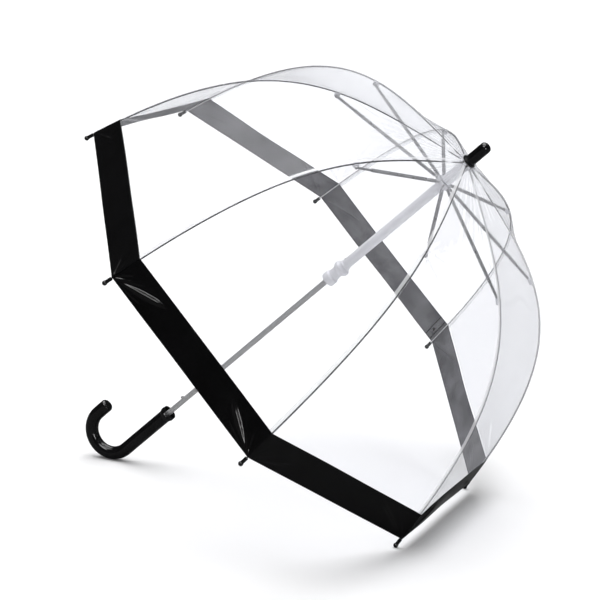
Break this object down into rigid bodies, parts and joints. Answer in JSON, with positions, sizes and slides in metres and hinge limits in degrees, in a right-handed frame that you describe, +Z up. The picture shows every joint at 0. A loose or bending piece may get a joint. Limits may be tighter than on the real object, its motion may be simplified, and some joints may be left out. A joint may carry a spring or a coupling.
{
  "type": "umbrella",
  "caption": "Open clear dome umbrella with a dark film border and a crook handle, lying on its side; it folds on a sliding runner.",
  "frame": {"origin": "bottom centre of the open umbrella's bounding box as it lies on the floor on two rib tips and the crook's bend", "axes": "+Z up from the floor; the shaft lies in the XZ plane and rises towards +X, from the crook to the ferrule"},
  "size_m": [0.5832, 0.6206, 0.5334],
  "materials": {
    "clear_film": "clear gloss film",
    "border_film": "gloss film",
    "black_gloss": "gloss",
    "frosted_plastic": "satin, slightly translucent",
    "chrome": "bright",
    "steel_wire": "bright",
    "rib_wire": "bright drawn wire",
    "stretcher_steel": "satin"
  },
  "bodies": {
    "shaft": {"shaft_tube": "chrome", "crown_hub": "frosted_plastic", "crown_ring_wire": "steel_wire", "crown_patch": "clear_film", "ferrule": "black_gloss", "crook_handle": "black_gloss", "hook_cap": "black_gloss"},
    "runner": {"runner_sleeve": "frosted_plastic", "runner_ring_wire": "steel_wire"},
    "top_catch": {"top_catch": "chrome"},
    "bottom_catch": {"bottom_catch": "chrome"},
    "rib_1": {"rib_1": "rib_wire", "rib_clip_1": "frosted_plastic", "rib_tip_1": "black_gloss"},
    "rib_2": {"rib_2": "rib_wire", "rib_clip_2": "frosted_plastic", "rib_tip_2": "black_gloss"},
    "rib_3": {"rib_3": "rib_wire", "rib_clip_3": "frosted_plastic", "rib_tip_3": "black_gloss"},
    "rib_4": {"rib_4": "rib_wire", "rib_clip_4": "frosted_plastic", "rib_tip_4": "black_gloss"},
    "rib_5": {"rib_5": "rib_wire", "rib_clip_5": "frosted_plastic", "rib_tip_5": "black_gloss"},
    "rib_6": {"rib_6": "rib_wire", "rib_clip_6": "frosted_plastic", "rib_tip_6": "black_gloss", "tie_strap": "border_film"},
    "rib_7": {"rib_7": "rib_wire", "rib_clip_7": "frosted_plastic", "rib_tip_7": "black_gloss"},
    "rib_8": {"rib_8": "rib_wire", "rib_clip_8": "frosted_plastic", "rib_tip_8": "black_gloss"},
    "stretcher_1": {"stretcher_1": "stretcher_steel"},
    "stretcher_2": {"stretcher_2": "stretcher_steel"},
    "stretcher_3": {"stretcher_3": "stretcher_steel"},
    "stretcher_4": {"stretcher_4": "stretcher_steel"},
    "stretcher_5": {"stretcher_5": "stretcher_steel"},
    "stretcher_6": {"stretcher_6": "stretcher_steel"},
    "stretcher_7": {"stretcher_7": "stretcher_steel"},
    "stretcher_8": {"stretcher_8": "stretcher_steel"},
    "panel_1": {"gore_1": "clear_film", "border_1": "border_film"},
    "panel_2": {"gore_2": "clear_film", "border_2": "border_film"},
    "panel_3": {"gore_3": "clear_film", "border_3": "border_film"},
    "panel_4": {"gore_4": "clear_film", "border_4": "border_film"},
    "panel_5": {"gore_5": "clear_film", "border_5": "border_film"},
    "panel_6": {"gore_6": "clear_film", "border_6": "border_film"},
    "panel_7": {"gore_7": "clear_film", "border_7": "border_film"},
    "panel_8": {"gore_8": "clear_film", "border_8": "border_film"}
  },
  "joints": [
    {"name": "runner_slide", "type": "slide", "parent": "shaft", "child": "runner", "axis": [-0.7184, 0, -0.6957], "range_m": [0, 0.24955], "deforming": ["gore_1", "border_1", "gore_2", "border_2", "gore_3", "border_3", "gore_4", "border_4", "gore_5", "border_5", "gore_6", "border_6", "gore_7", "border_7", "gore_8", "border_8", "tie_strap", "top_catch"]},
    {"name": "rib_1_hinge", "type": "hinge", "parent": "shaft", "child": "rib_1", "pos_m": [0.20447, -0.00287, 0.44947], "axis": [0.2662, -0.9239, -0.2749], "range_deg": [0, 44.51]},
    {"name": "rib_2_hinge", "type": "hinge", "parent": "shaft", "child": "rib_2", "pos_m": [0.20729, -0.00693, 0.44656], "axis": [0.6427, -0.3827, -0.6637], "range_deg": [0, 44.51]},
    {"name": "rib_3_hinge", "type": "hinge", "parent": "shaft", "child": "rib_3", "pos_m": [0.21128, -0.00693, 0.44243], "axis": [0.6427, 0.3827, -0.6637], "range_deg": [0, 44.51]},
    {"name": "rib_4_hinge", "type": "hinge", "parent": "shaft", "child": "rib_4", "pos_m": [0.21411, -0.00287, 0.43952], "axis": [0.2662, 0.9239, -0.2749], "range_deg": [0, 44.51]},
    {"name": "rib_5_hinge", "type": "hinge", "parent": "shaft", "child": "rib_5", "pos_m": [0.21411, 0.00287, 0.43952], "axis": [-0.2662, 0.9239, 0.2749], "range_deg": [0, 44.51]},
    {"name": "rib_6_hinge", "type": "hinge", "parent": "shaft", "child": "rib_6", "pos_m": [0.21128, 0.00693, 0.44243], "axis": [-0.6427, 0.3827, 0.6637], "range_deg": [0, 44.51]},
    {"name": "rib_7_hinge", "type": "hinge", "parent": "shaft", "child": "rib_7", "pos_m": [0.20729, 0.00693, 0.44656], "axis": [-0.6427, -0.3827, 0.6637], "range_deg": [0, 44.51]},
    {"name": "rib_8_hinge", "type": "hinge", "parent": "shaft", "child": "rib_8", "pos_m": [0.20447, 0.00287, 0.44947], "axis": [-0.2662, -0.9239, 0.2749], "range_deg": [0, 44.51]},
    {"name": "stretcher_1_hinge", "type": "hinge", "parent": "runner", "child": "stretcher_1", "pos_m": [0.17665, -0.00344, 0.42446], "axis": [-0.2662, 0.9239, 0.2749], "range_deg": [0, 66.49]},
    {"name": "stretcher_2_hinge", "type": "hinge", "parent": "runner", "child": "stretcher_2", "pos_m": [0.18003, -0.00831, 0.42096], "axis": [-0.6427, 0.3827, 0.6637], "range_deg": [0, 66.49]},
    {"name": "stretcher_3_hinge", "type": "hinge", "parent": "runner", "child": "stretcher_3", "pos_m": [0.18483, -0.00831, 0.41601], "axis": [-0.6427, -0.3827, 0.6637], "range_deg": [0, 66.49]},
    {"name": "stretcher_4_hinge", "type": "hinge", "parent": "runner", "child": "stretcher_4", "pos_m": [0.18821, -0.00344, 0.41251], "axis": [-0.2662, -0.9239, 0.2749], "range_deg": [0, 66.49]},
    {"name": "stretcher_5_hinge", "type": "hinge", "parent": "runner", "child": "stretcher_5", "pos_m": [0.18821, 0.00344, 0.41251], "axis": [0.2662, -0.9239, -0.2749], "range_deg": [0, 66.49]},
    {"name": "stretcher_6_hinge", "type": "hinge", "parent": "runner", "child": "stretcher_6", "pos_m": [0.18483, 0.00831, 0.41601], "axis": [0.6427, -0.3827, -0.6637], "range_deg": [0, 66.49]},
    {"name": "stretcher_7_hinge", "type": "hinge", "parent": "runner", "child": "stretcher_7", "pos_m": [0.18003, 0.00831, 0.42096], "axis": [0.6427, 0.3827, -0.6637], "range_deg": [0, 66.49]},
    {"name": "stretcher_8_hinge", "type": "hinge", "parent": "runner", "child": "stretcher_8", "pos_m": [0.17665, 0.00344, 0.42446], "axis": [0.2662, 0.9239, -0.2749], "range_deg": [0, 66.49]},
    {"name": "panel_1_fold", "type": "hinge", "parent": "rib_1", "child": "panel_1", "pos_m": [0.2292, 0.07098, 0.36498], "axis": [0.2062, 0.6614, -0.7211], "range_deg": [0, 33.34]},
    {"name": "panel_2_fold", "type": "hinge", "parent": "rib_2", "child": "panel_2", "pos_m": [0.17983, 0.10038, 0.41597], "axis": [-0.254, 0.9354, -0.246], "range_deg": [0, 33.34]},
    {"name": "panel_3_fold", "type": "hinge", "parent": "rib_3", "child": "panel_3", "pos_m": [0.13045, 0.07098, 0.46696], "axis": [-0.7141, 0.6614, 0.2292], "range_deg": [0, 33.34]},
    {"name": "panel_4_fold", "type": "hinge", "parent": "rib_4", "child": "panel_4", "pos_m": [0.11, 0, 0.48808], "axis": [-0.9047, 0, 0.426], "range_deg": [0, 33.34]},
    {"name": "panel_5_fold", "type": "hinge", "parent": "rib_5", "child": "panel_5", "pos_m": [0.13045, -0.07098, 0.46696], "axis": [-0.7141, -0.6614, 0.2292], "range_deg": [0, 33.34]},
    {"name": "panel_6_fold", "type": "hinge", "parent": "rib_6", "child": "panel_6", "pos_m": [0.17983, -0.10038, 0.41597], "axis": [-0.254, -0.9354, -0.246], "range_deg": [0, 33.34]},
    {"name": "panel_7_fold", "type": "hinge", "parent": "rib_7", "child": "panel_7", "pos_m": [0.2292, -0.07098, 0.36498], "axis": [0.2062, -0.6614, -0.7211], "range_deg": [0, 33.34]},
    {"name": "panel_8_fold", "type": "hinge", "parent": "rib_8", "child": "panel_8", "pos_m": [0.24966, 0, 0.34386], "axis": [0.3968, 0, -0.9179], "range_deg": [0, 33.34]},
    {"name": "top_catch_press", "type": "slide", "parent": "shaft", "child": "top_catch", "axis": [0.6957, 0, -0.7184], "range_m": [0, 0.0022], "stiffness_N_per_m": 400, "springref_m": -0.001},
    {"name": "bottom_catch_press", "type": "slide", "parent": "shaft", "child": "bottom_catch", "axis": [0.6957, 0, -0.7184], "range_m": [0, 0.0022], "stiffness_N_per_m": 400, "springref_m": -0.001}
  ],
  "couplings": [
    {"joint": "rib_1_hinge", "follows": "runner_slide", "rad_per_m": 3.1123},
    {"joint": "rib_2_hinge", "follows": "runner_slide", "rad_per_m": 3.1123},
    {"joint": "rib_3_hinge", "follows": "runner_slide", "rad_per_m": 3.1123},
    {"joint": "rib_4_hinge", "follows": "runner_slide", "rad_per_m": 3.1123},
    {"joint": "rib_5_hinge", "follows": "runner_slide", "rad_per_m": 3.1123},
    {"joint": "rib_6_hinge", "follows": "runner_slide", "rad_per_m": 3.1123},
    {"joint": "rib_7_hinge", "follows": "runner_slide", "rad_per_m": 3.1123},
    {"joint": "rib_8_hinge", "follows": "runner_slide", "rad_per_m": 3.1123},
    {"joint": "stretcher_1_hinge", "follows": "runner_slide", "rad_per_m": 4.6493},
    {"joint": "stretcher_2_hinge", "follows": "runner_slide", "rad_per_m": 4.6493},
    {"joint": "stretcher_3_hinge", "follows": "runner_slide", "rad_per_m": 4.6493},
    {"joint": "stretcher_4_hinge", "follows": "runner_slide", "rad_per_m": 4.6493},
    {"joint": "stretcher_5_hinge", "follows": "runner_slide", "rad_per_m": 4.6493},
    {"joint": "stretcher_6_hinge", "follows": "runner_slide", "rad_per_m": 4.6493},
    {"joint": "stretcher_7_hinge", "follows": "runner_slide", "rad_per_m": 4.6493},
    {"joint": "stretcher_8_hinge", "follows": "runner_slide", "rad_per_m": 4.6493},
    {"joint": "panel_1_fold", "follows": "runner_slide", "rad_per_m": 2.3308},
    {"joint": "panel_2_fold", "follows": "runner_slide", "rad_per_m": 2.3308},
    {"joint": "panel_3_fold", "follows": "runner_slide", "rad_per_m": 2.3308},
    {"joint": "panel_4_fold", "follows": "runner_slide", "rad_per_m": 2.3308},
    {"joint": "panel_5_fold", "follows": "runner_slide", "rad_per_m": 2.3308},
    {"joint": "panel_6_fold", "follows": "runner_slide", "rad_per_m": 2.3308},
    {"joint": "panel_7_fold", "follows": "runner_slide", "rad_per_m": 2.3308},
    {"joint": "panel_8_fold", "follows": "runner_slide", "rad_per_m": 2.3308}
  ]
}
